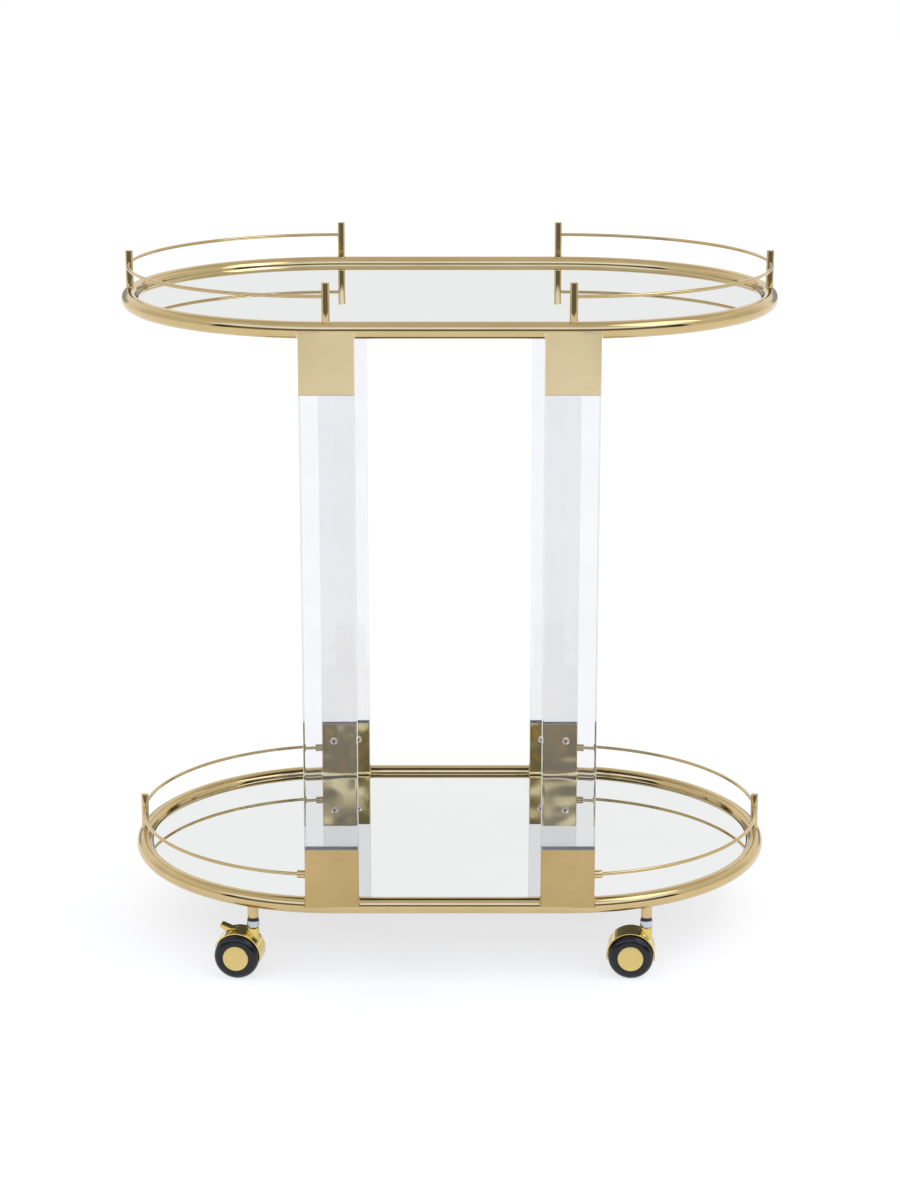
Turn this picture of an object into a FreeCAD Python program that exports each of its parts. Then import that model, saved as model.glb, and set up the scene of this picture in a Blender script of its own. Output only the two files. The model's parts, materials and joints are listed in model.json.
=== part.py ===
import FreeCAD, Part
import math
import os

import Sketcher

# An oval two-shelf bar cart: rings of tube, mirror shelves, acrylic legs in sleeves, gallery rails, twin-wheel casters.
# Millimetres, +Z up, +X along the length. The origin is on the floor under the middle of the cart; the front is -Y.

SIZES = {
    # rings and mirrors
    "shelf_length": 760.0,
    "shelf_depth": 492.0,
    "tube_radius": 9.5,
    "tube_wall": 1.5,
    "vent_radius": 2.5,  # holes into the tube, hidden by the sleeves
    "lower_ring_height": 91.5,  # floor to the middle of the lower ring's tube
    "shelf_spacing": 663.0,
    "mirror_thickness": 5.0,
    "mirror_rise": 1.0,  # mirror's face above the middle of the tube
    "mirror_gap": 0.3,
    "pad_radius": 5.0,
    "pad_thickness": 1.0,
    "ledge_width": 12.0,
    "ledge_thickness": 2.0,
    # legs and their sleeves
    "leg_width": 61.0,
    "leg_depth": 18.8,
    "sleeve_wall": 1.5,
    "sleeve_reach": 70.0,  # middle of the tube to the sleeve's rim
    "sleeve_start": 0.5,  # middle of the tube to the sleeve's welded edge
    "tenon_start": 10.0,  # middle of the tube to the end of the leg's tenon
    "leg_edge": 0.5,
    "screw_inset": 22.0,  # sleeve's rim to its screws
    "screw_spread": 15.5,
    "screw_radius": 2.0,
    "screw_length": 12.0,
    "screw_head_radius": 5.0,
    "screw_head_height": 2.4,
    "screw_key_radius": 1.5,
    # gallery rails
    "post_radius": 4.4,
    "post_rise": 52.0,
    "post_edge": 0.6,
    "rail_radius": 2.0,
    "rail_rise": 36.7,
    "ferrule_radius": 4.6,
    "ferrule_length": 9.5,
    "ferrule_weld": 0.2,  # how far it is cut back to fit the sleeve's side
    "ferrule_grip": 2.5,  # sleeve's side to the end of the rail's rod
    # casters
    "caster_spread": 226.0,
    "yaw_left": -7.7,  # degrees that the casters of that end are turned at rest
    "yaw_right": -5.0,
    "caster_trail": 17.0,
    "socket_radius": 6.35,
    "socket_bore": 5.0,
    "socket_end": 70.0,
    "insert_end": 66.5,
    "insert_top": 80.0,
    "stem_radius": 3.5,
    "collar_radius": 7.3,
    "collar_end": 58.7,
    "stem_end": 50.0,
    "neck_radius": 6.8,
    "neck_top": 58.2,
    "wheel_radius": 26.0,
    "wheel_face": 22.0,  # middle of the caster to a wheel's outer face
    "wheel_back": 4.5,  # middle of the caster to a wheel's inner face
    "wheel_round": 8.0,
    "wheel_bevel_rise": 3.0,
    "wheel_bevel_run": 2.5,
    "cap_radius": 14.8,
    "cap_seat": 20.8,
    "cap_face": 22.8,
    "cap_edge": 0.9,
    "hood_radius": 28.0,
    "hood_bore": 26.8,
    "hood_half_width": 15.0,
    "web_half_width": 4.0,
    "axle_radius": 3.5,
    "boss_radius": 9.0,
    "bore_relief": 0.5,
    "axle_half_length": 20.3,
    "running_gap": 0.05,
    "lever_half_width": 6.0,
    "tongue_half_width": 1.8,
    "tongue_gap": 0.2,
    "pivot_radius": 1.5,
    "pivot_length": 7.8,
}

ENDS = {"left": -1, "right": 1}
SIDES = {"front": -1, "rear": 1}
BRAKED_END = "left"
PADS_PER_SHELF = 8
CLOSE = 0.01  # two measures that differ by less are the same

UP = FreeCAD.Vector(0, 0, 1)
HALF_TURN = FreeCAD.Rotation(UP, 180)
UPSIDE_DOWN = FreeCAD.Rotation(FreeCAD.Vector(0, 1, 0), 180)
ALONG_Y = FreeCAD.Rotation(FreeCAD.Vector(1, 0, 0), -90)
ALONG_X = FreeCAD.Rotation(FreeCAD.Vector(0, 1, 0), 90)
UPRIGHT = FreeCAD.Rotation()

doc = FreeCAD.newDocument("BarCart")
sheet = doc.addObject("Spreadsheet::Sheet", "Sizes")
for row, (alias, number) in enumerate(SIZES.items(), start=1):
    sheet.set(f"A{row}", alias)
    sheet.set(f"B{row}", str(number))
    sheet.setAlias(f"B{row}", alias)
doc.recompute()


class Size:
    """A number together with the sheet expression that gives it."""

    def __init__(self, value, text=None):
        self.value = value
        self.text = text or f"({value})"

    def __add__(self, other):
        other = sized(other)
        return Size(self.value + other.value, f"({self.text} + {other.text})")

    def __sub__(self, other):
        other = sized(other)
        return Size(self.value - other.value, f"({self.text} - {other.text})")

    def __mul__(self, other):
        other = sized(other)
        return Size(self.value * other.value, f"({self.text} * {other.text})")

    def __rsub__(self, other):
        return sized(other) - self

    def __truediv__(self, other):
        other = sized(other)
        return Size(self.value / other.value, f"({self.text} / {other.text})")

    def __neg__(self):
        return self * -1

    __radd__ = __add__
    __rmul__ = __mul__


def sized(thing):
    """The thing as a Size, whether it is one already, an alias or a plain number."""
    if isinstance(thing, Size):
        return thing
    if isinstance(thing, str):
        return Size(SIZES[thing], f"Sizes.{thing}")
    return Size(thing)


def other_side(hypotenuse, side):
    """The third side of a right triangle."""
    value = math.sqrt(hypotenuse.value**2 - side.value**2)
    return Size(value, f"sqrt({hypotenuse.text}^2 - {side.text}^2)")


BEND = sized("shelf_depth") / 2 - "tube_radius"  # radius of the ring's round ends, to the middle of the tube
STRAIGHT = (sized("shelf_length") - "shelf_depth") / 2  # half of the ring's straight stretch
RING_HEIGHTS = {
    "lower": sized("lower_ring_height"),
    "upper": sized("lower_ring_height") + "shelf_spacing",
}
CASTER_X = sized("caster_spread")
CASTER_Y = other_side(BEND, CASTER_X - STRAIGHT)


# Helpers


def bind(thing, path, size):
    """Ties one property of a document object to the sheet."""
    thing.setExpression(path, sized(size).text)


def place(thing, x=0, y=0, z=0, rotation=UPRIGHT):
    """Puts an object at a place that follows the sheet, and returns it."""
    base = FreeCAD.Vector(*(sized(size).value for size in (x, y, z)))
    thing.Placement = FreeCAD.Placement(base, rotation)
    for axis, size in (("x", x), ("y", y), ("z", z)):
        bind(thing, f"Placement.Base.{axis}", size)
    return thing


def cylinder(name, radius, height, x=0, y=0, z=0, rotation=UPRIGHT):
    made = doc.addObject("Part::Cylinder", name)
    bind(made, "Radius", radius)
    bind(made, "Height", height)
    return place(made, x, y, z, rotation)


def cut(name, base, *tools):
    """base with each tool taken away."""
    for tool in tools:
        made = doc.addObject("Part::Cut", name)
        made.Base = base
        made.Tool = tool
        base = made
    return base


def fuse(name, *pieces):
    made = doc.addObject("Part::MultiFuse", name)
    made.Shapes = list(pieces)
    return made


def group(label, pieces):
    """Separate solids that share one node."""
    made = doc.addObject("Part::Compound", label)
    made.Links = list(pieces)
    return part(label, made)


parts = {}


def part(label, made):
    """Registers a finished sub-part under its own label."""
    made.Label = label
    parts[label] = made
    return made


def new_body(name):
    return doc.addObject("PartDesign::Body", name)


def new_sketch(body, role, offset=None):
    """A sketch on one of the body's origin planes, moved along the plane's normal by the offset."""
    sketch = body.newObject("Sketcher::SketchObject", "Sketch")
    support = next(item for item in body.Origin.OriginFeatures if item.Role == role)
    sketch.AttachmentSupport = [(support, "")]
    sketch.MapMode = "FlatFace"
    if offset is not None:
        sketch.AttachmentOffset = FreeCAD.Placement(FreeCAD.Vector(0, 0, sized(offset).value), UPRIGHT)
        bind(sketch, "AttachmentOffset.Base.z", offset)
    return sketch


def constrain(sketch, kind, *where, size=None):
    """Adds one constraint, tied to the sheet when it has a size."""
    if size is None:
        return sketch.addConstraint(Sketcher.Constraint(kind, *where))
    size = sized(size)
    index = sketch.addConstraint(Sketcher.Constraint(kind, *where, size.value))
    sketch.renameConstraint(index, f"size{index}")
    bind(sketch, f"Constraints.size{index}", size)
    return index


def pin_point(sketch, shape, point, x, y):
    """Holds a sketch point at x, y: on an axis where the coordinate is 0, by a distance where it isn't."""
    for axis, kind, size in ((-2, "DistanceX", sized(x)), (-1, "DistanceY", sized(y))):
        if size.value == 0:
            constrain(sketch, "PointOnObject", shape, point, axis)
        else:
            constrain(sketch, kind, shape, point, size=size)


def draw_circle(sketch, radius, x=0, y=0):
    centre = FreeCAD.Vector(sized(x).value, sized(y).value, 0)
    shape = sketch.addGeometry(Part.Circle(centre, UP, sized(radius).value))
    constrain(sketch, "Radius", shape, size=radius)
    pin_point(sketch, shape, 3, x, y)


def draw_polygon(sketch, corners):
    corners = [(sized(x), sized(y)) for x, y in corners]
    points = [FreeCAD.Vector(x.value, y.value, 0) for x, y in corners]
    lines = [
        sketch.addGeometry(Part.LineSegment(points[i], points[(i + 1) % len(points)]))
        for i in range(len(points))
    ]
    for i, line in enumerate(lines):
        constrain(sketch, "Coincident", line, 2, lines[(i + 1) % len(lines)], 1)
    for line, (x, y) in zip(lines, corners):
        pin_point(sketch, line, 1, x, y)


def draw_box(sketch, half_width, half_height, x=0, y=0):
    half_width, half_height = sized(half_width), sized(half_height)
    corners = [(-1, -1), (1, -1), (1, 1), (-1, 1)]
    draw_polygon(sketch, [(x + half_width * i, y + half_height * j) for i, j in corners])


def draw_stadium(sketch, radius):
    """Two half circles of the radius round the ends of the ring's straight stretch, joined by lines."""
    reach, bend = STRAIGHT.value, sized(radius).value
    quarter = math.pi / 2
    low = [FreeCAD.Vector(x, -bend, 0) for x in (-reach, reach)]
    high = [FreeCAD.Vector(x, bend, 0) for x in (reach, -reach)]
    front = sketch.addGeometry(Part.LineSegment(*low))
    circle = Part.Circle(FreeCAD.Vector(reach, 0, 0), UP, bend)
    right = sketch.addGeometry(Part.ArcOfCircle(circle, -quarter, quarter))
    back = sketch.addGeometry(Part.LineSegment(*high))
    circle = Part.Circle(FreeCAD.Vector(-reach, 0, 0), UP, bend)
    left = sketch.addGeometry(Part.ArcOfCircle(circle, quarter, 3 * quarter))
    for one, one_end, two, two_end in (
        (front, 2, right, 1),
        (right, 2, back, 1),
        (back, 2, left, 1),
        (left, 2, front, 1),
    ):
        constrain(sketch, "Tangent", one, one_end, two, two_end)
    constrain(sketch, "Horizontal", front)
    constrain(sketch, "Radius", right, size=radius)
    pin_point(sketch, right, 3, STRAIGHT, 0)
    pin_point(sketch, left, 3, -STRAIGHT, 0)


def pad(body, sketch, length, both_ways=False, backwards=False):
    made = body.newObject("PartDesign::Pad", "Pad")
    made.Profile = sketch
    bind(made, "Length", length)
    if both_ways:
        made.Midplane = True
    made.Reversed = backwards
    return made


def pocket(body, sketch, length, both_ways=False, backwards=False):
    """A pocket, checked to have taken something away."""
    before = solid_volume(body)
    made = body.newObject("PartDesign::Pocket", "Pocket")
    made.Profile = sketch
    bind(made, "Length", length)
    if both_ways:
        made.Midplane = True
    made.Reversed = backwards
    if solid_volume(body) >= before:
        raise RuntimeError(f"a pocket in {body.Name} cuts nothing")
    return made


def solid_volume(body):
    doc.recompute()
    return body.Shape.Volume


def revolve(body, sketch):
    """The profile turned round the sketch's horizontal axis."""
    made = body.newObject("PartDesign::Revolution", "Revolution")
    made.Profile = sketch
    made.ReferenceAxis = (sketch, ["H_Axis"])
    made.Angle = 360
    doc.recompute()
    return made


def soften(body, kind, size, wanted):
    """Rounds or chamfers the edges of the body for which wanted(edge) is true."""
    doc.recompute()
    feature = body.Tip
    names = [f"Edge{i}" for i, edge in enumerate(feature.Shape.Edges, start=1) if wanted(edge)]
    if not names:
        raise RuntimeError(f"no edge to soften on {body.Name}")
    made = body.newObject(f"PartDesign::{kind}", kind)
    made.Base = (feature, names)
    bind(made, "Radius" if kind == "Fillet" else "Size", size)
    return made


def is_circle(edge, radius, y):
    """True for a circle of that radius round an axis along Y, at that y."""
    curve = edge.Curve
    if not isinstance(curve, Part.Circle) or abs(curve.Radius - radius) > CLOSE:
        return False
    return abs(abs(curve.Axis.y) - 1) < CLOSE and abs(curve.Center.y - y) < CLOSE


# Rings, mirrors and what holds them


def ring_rods(name, radius):
    """Round rods along the whole outline at height 0: two straight lengths and two half-circle bends."""
    return [
        cylinder(f"{name}_straight", radius, STRAIGHT * 2, -STRAIGHT, BEND * way, 0, ALONG_X)
        for way in SIDES.values()
    ] + [bend(f"{name}_bend_{end}", radius, way) for end, way in ENDS.items()]


def bend(name, radius, way, z=0, cut_back=0.0):
    """A rod bent round one end of the shelf, less cut_back degrees at each of its ends."""
    made = doc.addObject("Part::Torus", name)
    bind(made, "Radius1", BEND)
    bind(made, "Radius2", radius)
    made.Angle3 = 180 - 2 * cut_back
    first = way * 90 - 180 + cut_back if way > 0 else 90 + cut_back
    return place(made, STRAIGHT * way, 0, z, FreeCAD.Rotation(UP, first))


def ring_tube(level):
    """The tube round a shelf, with vent holes that open into the sleeves."""
    name = f"{level}_ring_tube"
    outside = fuse(f"{name}_outside", *ring_rods(f"{name}_outside", "tube_radius"))
    inside = fuse(f"{name}_inside", *ring_rods(f"{name}_inside", sized("tube_radius") - "tube_wall"))
    start = 0 if level == "lower" else -sized("tube_radius") * 2
    vents = [
        cylinder(f"{name}_vent", "vent_radius", sized("tube_radius") * 2, STRAIGHT * end, BEND * side, start)
        for end in ENDS.values()
        for side in SIDES.values()
    ]
    return part(name, place(cut(name, outside, inside, *vents), z=RING_HEIGHTS[level]))


def mirror_shelf(level):
    body = new_body(f"{level}_mirror")
    outline = new_sketch(body, "XY_Plane")
    draw_stadium(outline, BEND - "tube_radius" - "mirror_gap")
    pad(body, outline, "mirror_thickness")
    bottom = RING_HEIGHTS[level] + "mirror_rise" - "mirror_thickness"
    return part(f"{level}_mirror", place(body, z=bottom))


LEDGE_TOP = sized("mirror_rise") - "mirror_thickness" - "pad_thickness"


def ledge(level, rods):
    """The flat strip inside the tube that carries the mirror, coped to the tube and notched for the upper sleeves."""
    body = new_body(f"{level}_ledge_strip")
    outline = new_sketch(body, "XY_Plane", LEDGE_TOP - "ledge_thickness")
    draw_stadium(outline, BEND - sized("tube_radius") / 2)
    pad(body, outline, "ledge_thickness")
    opening = new_sketch(body, "XY_Plane", LEDGE_TOP - "ledge_thickness")
    draw_stadium(opening, BEND - "tube_radius" - "ledge_width")
    pocket(body, opening, sized("ledge_thickness") * 2, backwards=True)
    if level == "upper":
        for end in ENDS.values():
            for side in SIDES.values():
                notch = new_sketch(body, "XY_Plane", LEDGE_TOP - "ledge_thickness")
                draw_box(notch, sized("leg_width") / 2, sized("leg_depth") / 2, STRAIGHT * end, BEND * side)
                pocket(body, notch, sized("ledge_thickness") * 2, backwards=True)
    made = cut(f"{level}_ledge", body, *rods)
    return part(f"{level}_ledge", place(made, z=RING_HEIGHTS[level]))


def mirror_pads():
    """Clear pads between each ledge and its mirror, at the straight stretch's ends and round the bends."""
    middle = BEND - "tube_radius" - sized("ledge_width") / 2
    pads = []
    for level, height in RING_HEIGHTS.items():
        for i in range(PADS_PER_SHELF):
            turn = math.radians(360 * (i + 0.5) / PADS_PER_SHELF)
            end = math.copysign(1, math.cos(turn))
            x = STRAIGHT * end + middle * math.cos(turn)
            y = middle * math.sin(turn)
            pads.append(cylinder(f"{level}_pad", "pad_radius", "pad_thickness", x, y, height + LEDGE_TOP))
    return group("mirror_pads", pads)


# Legs


def sleeve(level, side, end, rods):
    """A rectangular sleeve welded over the ring, which takes the leg's tenon. Its inner face has two screw holes."""
    name = f"{level}_sleeve_{side}_{end}"
    body = new_body(name + "_box")
    outside = new_sketch(body, "XY_Plane", "sleeve_start")
    draw_box(outside, sized("leg_width") / 2, sized("leg_depth") / 2)
    height = sized("sleeve_reach") - "sleeve_start"
    pad(body, outside, height)
    inside = new_sketch(body, "XY_Plane", "sleeve_start")
    draw_box(inside, sized("leg_width") / 2 - "sleeve_wall", sized("leg_depth") / 2 - "sleeve_wall")
    pocket(body, inside, height * 2, backwards=True)
    holes = new_sketch(body, "XZ_Plane")
    for way in (-1, 1):
        draw_circle(holes, "screw_radius", sized("screw_spread") * way, sized("sleeve_reach") - "screw_inset")
    pocket(body, holes, "leg_depth")
    rotation = leg_rotation(side)
    if level == "upper":
        rotation = rotation * UPSIDE_DOWN
    place(body, STRAIGHT * ENDS[end], BEND * SIDES[side], 0, rotation)
    made = cut(name, body, *rods)
    return part(name, place(made, z=RING_HEIGHTS[level]))


def leg_rotation(side):
    """Legs, sleeves and screws are drawn with +Y towards the middle of the cart, as the front ones stand."""
    return HALF_TURN if side == "rear" else UPRIGHT


def leg(side, end):
    """An acrylic slab with a tenon at each end, and the screws' holes in the tenons."""
    name = f"acrylic_leg_{side}_{end}"
    body = new_body(name)
    slab = new_sketch(body, "XY_Plane")
    draw_box(slab, sized("leg_width") / 2, sized("leg_depth") / 2)
    slab_length = sized("shelf_spacing") - sized("sleeve_reach") * 2
    pad(body, slab, slab_length, both_ways=True)
    soften(body, "Chamfer", "leg_edge", lambda edge: edge.Length > 2 * SIZES["leg_width"])
    tenon = new_sketch(body, "XY_Plane")
    draw_box(tenon, sized("leg_width") / 2 - "sleeve_wall", sized("leg_depth") / 2 - "sleeve_wall")
    pad(body, tenon, sized("shelf_spacing") - sized("tenon_start") * 2, both_ways=True)
    depth = sized("screw_length") - "sleeve_wall"
    holes = new_sketch(body, "XZ_Plane", -(sized("leg_depth") / 2 - "sleeve_wall"))
    rise = sized("shelf_spacing") / 2 - "sleeve_reach" + "screw_inset"
    for way in (-1, 1):
        for up in (-1, 1):
            draw_circle(holes, "screw_radius", sized("screw_spread") * way, rise * up)
    pocket(body, holes, depth, backwards=True)
    middle = sized("lower_ring_height") + sized("shelf_spacing") / 2
    return part(name, place(body, STRAIGHT * ENDS[end], BEND * SIDES[side], middle, leg_rotation(side)))


def screw(x, y, z, inwards):
    """A button-head screw whose shank runs from the sleeve's inner face towards the outside of the cart."""
    turn = ALONG_Y if inwards > 0 else ALONG_Y.inverted()
    head = cylinder("screw_head", "screw_head_radius", "screw_head_height", x, y, z, turn)
    shank = cylinder("screw_shank", "screw_radius", "screw_length", x, y, z, turn.multiply(UPSIDE_DOWN))
    key = doc.addObject("Part::Prism", "screw_key")
    key.Polygon = 6
    bind(key, "Circumradius", "screw_key_radius")
    bind(key, "Height", "screw_head_height")
    place(key, x, sized(y) + sized("screw_head_height") / 2 * inwards, z, turn)
    return cut("screw", fuse("screw_body", head, shank), key)


def sleeve_screws():
    screws = []
    for level, height in RING_HEIGHTS.items():
        up = 1 if level == "lower" else -1
        z = height + (sized("sleeve_reach") - "screw_inset") * up
        for side, way in SIDES.items():
            y = (BEND - sized("leg_depth") / 2) * way
            for end in ENDS.values():
                for spread in (-1, 1):
                    x = STRAIGHT * end + sized("screw_spread") * spread
                    screws.append(screw(x, y, z, inwards=-way))
    return group("sleeve_screws", screws)


# Gallery rails


def rail(level, end, cut_back):
    """A thin rod round one end of a shelf, above the tube."""
    name = f"{level}_rail_{end}"
    return part(name, bend(name, "rail_radius", ENDS[end], RING_HEIGHTS[level] + "rail_rise", cut_back))


def post(level, x, y, rods, rail_rod):
    """A round post welded to the top of the tube and drilled for the rail's rod."""
    body = new_body("post_blank")
    section = new_sketch(body, "XY_Plane")
    draw_circle(section, "post_radius")
    pad(body, section, "post_rise")
    soften(body, "Chamfer", "post_edge", lambda edge: edge.BoundBox.ZMin > SIZES["post_rise"] - 0.1)
    place(body, x, y, 0)
    coped = place(cut("post_coped", body, *rods), z=RING_HEIGHTS[level])
    return cut("post", coped, rail_rod)


def upper_posts(end, rods, rail_rod):
    """The three posts of one end of the upper rail: at the front, at the middle of the bend, and at the rear."""
    spots = [
        (STRAIGHT * ENDS[end], -BEND),
        ((STRAIGHT + BEND) * ENDS[end], 0),
        (STRAIGHT * ENDS[end], BEND),
    ]
    return group(f"upper_rail_posts_{end}", [post("upper", x, y, rods, rail_rod) for x, y in spots])


def lower_post(end, rods, rail_rod):
    return part(f"lower_rail_post_{end}", post("lower", (STRAIGHT + BEND) * ENDS[end], 0, rods, rail_rod))


ROD_END = sized("leg_width") / 2 + "ferrule_grip"  # past the start of the bend, along X
ROD_END_ANGLE = math.degrees(math.asin(ROD_END.value / BEND.value))


def ferrule(end, side, rod):
    """The collar between the lower rail's rod and the side of a sleeve, in line with the rod there."""
    run = sized("leg_width") / 2 + sized("ferrule_length") / 2
    tilt = math.degrees(math.asin(run.value / BEND.value))
    lean = FreeCAD.Rotation(UP, -tilt * SIDES[side] * ENDS[end])
    turn = lean * FreeCAD.Rotation(FreeCAD.Vector(0, 1, 0), 90 * ENDS[end])
    z = RING_HEIGHTS["lower"] + "rail_rise"
    back = sized("ferrule_length") / 2
    x = (STRAIGHT + run - back) * ENDS[end]
    y = (other_side(BEND, run) + back * math.tan(math.radians(tilt))) * SIDES[side]
    blank = cylinder("ferrule_blank", "ferrule_radius", sized("ferrule_length") + "ferrule_weld", x, y, z, turn)
    block = doc.addObject("Part::Box", "sleeve_side")
    bind(block, "Length", "leg_width")
    bind(block, "Width", sized("leg_depth") * 2)
    bind(block, "Height", "sleeve_reach")
    corner = STRAIGHT * ENDS[end] - sized("leg_width") / 2
    place(block, corner, BEND * SIDES[side] - "leg_depth", RING_HEIGHTS["lower"])
    return cut("ferrule", blank, block, rod)


# Casters. Each is drawn with its stem on the Z axis and its axle at -X, then turned and moved into place.

AXLE_HEIGHT = sized("wheel_radius")
HOOD_LEADING = -10  # degrees round the axle from +X
HOOD_TRAILING = {"left": 158, "right": 190}  # shorter behind a brake
FAR = 40.0  # past every edge of a caster
THROUGH = 4  # half widths that a cut right through a hood is deep

# Outlines of the brake, as places from the axle
PIVOT = (-4.0, 19.5)
TONGUE = ((-6.8, 17.2), (-1.4, 17.2), (-5.6, 29.5), (-10.0, 30.0))
TAB = (
    (-2.5, 28.4),
    (-11.5, 27.6),
    (-16.0, 28.0),
    (-20.9, 31.0),
    (-21.3, 33.6),
    (-19.0, 35.0),
    (-8.3, 30.6),
    (-2.5, 30.4),
)
TONGUE_SLOT = ((-9.0, 14.0), (1.0, 14.0), (1.0, 24.4), (-3.6, 25.2), (-3.6, 36.0), (-16.0, 36.0), (-16.0, 24.6))


def yaw_of(end):
    return FreeCAD.Rotation(UP, SIZES[f"yaw_{end}"])


def yaw_parts(end):
    """The cosine and sine of an end's yaw, as sizes that follow the sheet."""
    turn = math.radians(SIZES[f"yaw_{end}"])
    text = f"Sizes.yaw_{end} * 1 deg"
    return Size(math.cos(turn), f"cos({text})"), Size(math.sin(turn), f"sin({text})")


def place_caster(made, end, side, x=0, y=0, z=0, rotation=UPRIGHT):
    """Moves a piece drawn in the caster's own frame to one corner of the cart."""
    cosine, sine = yaw_parts(end)
    spot_x = CASTER_X * ENDS[end] + cosine * x - sine * y
    spot_y = CASTER_Y * SIDES[side] + sine * x + cosine * y
    return place(made, spot_x, spot_y, z, yaw_of(end) * rotation)


def from_axle(x, z):
    return x - sized("caster_trail"), z + AXLE_HEIGHT


def around_axle(radius, degrees):
    turn = math.radians(degrees)
    return from_axle(radius * math.cos(turn), radius * math.sin(turn))


def draw_from_axle(sketch, spots):
    draw_polygon(sketch, [from_axle(*spot) for spot in spots])


def caster_hood(end, side):
    """The casting that swivels: a hood over both wheels, a web between them and a neck for the stem."""
    name = f"caster_hood_{side}_{end}"
    body = new_body(name)
    disc = new_sketch(body, "XZ_Plane")
    draw_circle(disc, "hood_radius", -sized("caster_trail"), AXLE_HEIGHT)
    pad(body, disc, sized("hood_half_width") * 2, both_ways=True)
    neck = new_sketch(body, "XY_Plane", AXLE_HEIGHT)
    draw_circle(neck, "neck_radius")
    pad(body, neck, sized("neck_top") - AXLE_HEIGHT)
    for way in (1, -1):
        chamber = new_sketch(body, "XZ_Plane", sized("web_half_width") * way)
        draw_circle(chamber, "hood_bore", -sized("caster_trail"), AXLE_HEIGHT)
        pocket(body, chamber, "hood_half_width", backwards=way > 0)
    below = new_sketch(body, "XZ_Plane")
    trailing = HOOD_TRAILING[end]
    boss = sized("boss_radius")
    rim = [
        around_axle(FAR, trailing),
        around_axle(boss, trailing),
        around_axle(boss, -90),
        around_axle(boss, HOOD_LEADING),
        around_axle(FAR, HOOD_LEADING),
        from_axle(FAR, -FAR),
        from_axle(-FAR, -FAR),
    ]
    draw_polygon(below, rim)
    pocket(body, below, sized("hood_half_width") * THROUGH, both_ways=True)
    bore = new_sketch(body, "XY_Plane", "neck_top")
    draw_circle(bore, sized("stem_radius") + "running_gap")
    pocket(body, bore, sized("neck_top") - "stem_end" + "bore_relief")
    axle = new_sketch(body, "XZ_Plane")
    draw_circle(axle, "axle_radius", -sized("caster_trail"), AXLE_HEIGHT)
    pocket(body, axle, sized("hood_half_width") * THROUGH, both_ways=True)
    if end == BRAKED_END:
        cut_brake_slot(body)
    return part(name, place_caster(body, end, side))


def cut_brake_slot(body):
    """Opens the web and the drum for the lever's tongue, and the web for its pivot."""
    slot = new_sketch(body, "XZ_Plane")
    draw_from_axle(slot, TONGUE_SLOT)
    pocket(body, slot, (sized("tongue_half_width") + "tongue_gap") * 2, both_ways=True)
    pivot = new_sketch(body, "XZ_Plane")
    draw_circle(pivot, sized("pivot_radius") + "running_gap", *from_axle(*PIVOT))
    pocket(body, pivot, "hood_half_width", both_ways=True)


def brake_lever(end, side):
    """A pedal tab on a tongue that turns on its own stub pivot between the wheels."""
    name = f"brake_lever_{side}_{end}"
    body = new_body(name)
    for outline, half_width in ((TONGUE, "tongue_half_width"), (TAB, "lever_half_width")):
        sketch = new_sketch(body, "XZ_Plane")
        draw_from_axle(sketch, outline)
        pad(body, sketch, sized(half_width) * 2, both_ways=True)
    pivot = new_sketch(body, "XZ_Plane")
    draw_circle(pivot, "pivot_radius", *from_axle(*PIVOT))
    pad(body, pivot, "pivot_length", both_ways=True)
    return part(name, place_caster(body, end, side))


def wheel(end, side, which):
    """One of a caster's two wheels, with a rounded outer shoulder and a recess for its cap."""
    name = f"wheel_{side}_{end}_{which}"
    body = new_body(name)
    profile = new_sketch(body, "YZ_Plane")
    bore = sized("axle_radius") + "running_gap"
    tread = sized("wheel_radius")
    outline = [
        ("wheel_back", bore),
        ("wheel_back", tread - "wheel_bevel_rise"),
        (sized("wheel_back") + "wheel_bevel_run", tread),
        ("wheel_face", tread),
        ("wheel_face", "cap_radius"),
        ("cap_seat", "cap_radius"),
        ("cap_seat", bore),
    ]
    draw_polygon(profile, outline)
    revolve(body, profile)
    soften(body, "Fillet", "wheel_round", lambda edge: is_circle(edge, tread.value, SIZES["wheel_face"]))
    return part(name, place_on_axle(body, end, side, which))


def wheel_cap(end, side, which):
    name = f"wheel_cap_{side}_{end}_{which}"
    body = new_body(name)
    profile = new_sketch(body, "YZ_Plane")
    draw_polygon(profile, [("cap_seat", 0), ("cap_seat", "cap_radius"), ("cap_face", "cap_radius"), ("cap_face", 0)])
    revolve(body, profile)
    face, radius = SIZES["cap_face"], SIZES["cap_radius"]
    soften(body, "Fillet", "cap_edge", lambda edge: is_circle(edge, radius, face))
    return part(name, place_on_axle(body, end, side, which))


def place_on_axle(body, end, side, which):
    """Wheels and caps are drawn on +Y of the axle: the outer one of each caster faces away from the cart's middle."""
    faces_front = (which == "outer") == (side == "front")
    turn = HALF_TURN if faces_front else UPRIGHT
    return place_caster(body, end, side, -sized("caster_trail"), 0, AXLE_HEIGHT, turn)


def caster_axle(end, side):
    """The pin that both wheels turn on, held in the hood's web."""
    name = f"caster_axle_{side}_{end}"
    half = sized("axle_half_length")
    pin = cylinder(name, "axle_radius", half * 2)
    return part(name, place_caster(pin, end, side, -sized("caster_trail"), -half, AXLE_HEIGHT, ALONG_Y))


def corners():
    return [(end, side) for end in ENDS for side in SIDES]


def corner_spot(end, side):
    return CASTER_X * ENDS[end], CASTER_Y * SIDES[side]


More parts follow.
